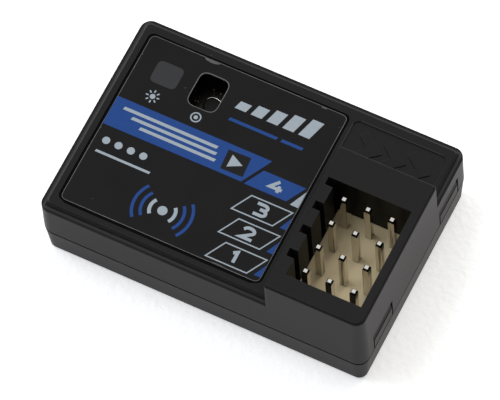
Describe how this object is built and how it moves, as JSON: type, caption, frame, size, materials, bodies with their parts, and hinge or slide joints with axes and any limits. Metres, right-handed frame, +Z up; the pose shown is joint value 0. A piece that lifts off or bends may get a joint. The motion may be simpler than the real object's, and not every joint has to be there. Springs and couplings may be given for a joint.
{
  "type": "rc receiver",
  "caption": "Small black plastic radio control receiver with a raised, keyed well of pin contacts for servo plugs, a printed label, a lamp window and a recessed push switch.",
  "frame": {"origin": "middle of the underside", "axes": "+X along the length, to the end with the plug well; +Y across, away from the front; +Z up, out of the well"},
  "size_m": [0.0352, 0.0232, 0.0126],
  "materials": {
    "case_plastic": "near-black moulded plastic, fine satin grain",
    "label_film": "black printed film, satin",
    "insulator_plastic": "cream moulded nylon",
    "contact_metal": "tin-plated, bright",
    "board_laminate": "green solder mask over glass laminate",
    "switch_plastic": "black moulded",
    "button_plastic": "black moulded, worn satin",
    "spring_metal": "stamped steel",
    "lamp_resin": "milky resin",
    "chip_resin": "black moulded resin",
    "can_metal": "drawn metal can",
    "capacitor_resin": "yellow moulded resin",
    "ceramic": "fired ceramic"
  },
  "bodies": {
    "housing": {"lower_case": "case_plastic", "circuit_board": "board_laminate", "header_base": "insulator_plastic", "channel_4_signal_pin": "contact_metal", "channel_4_supply_pin": "contact_metal", "channel_4_ground_pin": "contact_metal", "channel_3_signal_pin": "contact_metal", "channel_3_supply_pin": "contact_metal", "channel_3_ground_pin": "contact_metal", "channel_2_signal_pin": "contact_metal", "channel_2_supply_pin": "contact_metal", "channel_2_ground_pin": "contact_metal", "channel_1_signal_pin": "contact_metal", "channel_1_supply_pin": "contact_metal", "channel_1_ground_pin": "contact_metal", "switch_base": "switch_plastic", "switch_terminals": "spring_metal", "switch_dome": "spring_metal", "switch_cover": "spring_metal", "led": "lamp_resin", "rf_chip": "chip_resin", "microcontroller": "chip_resin", "crystal": "can_metal", "supply_capacitor": "capacitor_resin", "filter_capacitor": "ceramic", "reset_capacitor": "ceramic", "antenna": "ceramic", "voltage_regulator": "chip_resin", "upper_case": "case_plastic", "label": "label_film"},
    "button": {"switch_button": "button_plastic"}
  },
  "joints": [
    {"name": "switch_press", "type": "slide", "parent": "housing", "child": "button", "axis": [0, 0, -1], "range_m": [0, 0.00025], "stiffness_N_per_m": 5000, "deforming": ["switch_dome"]}
  ]
}
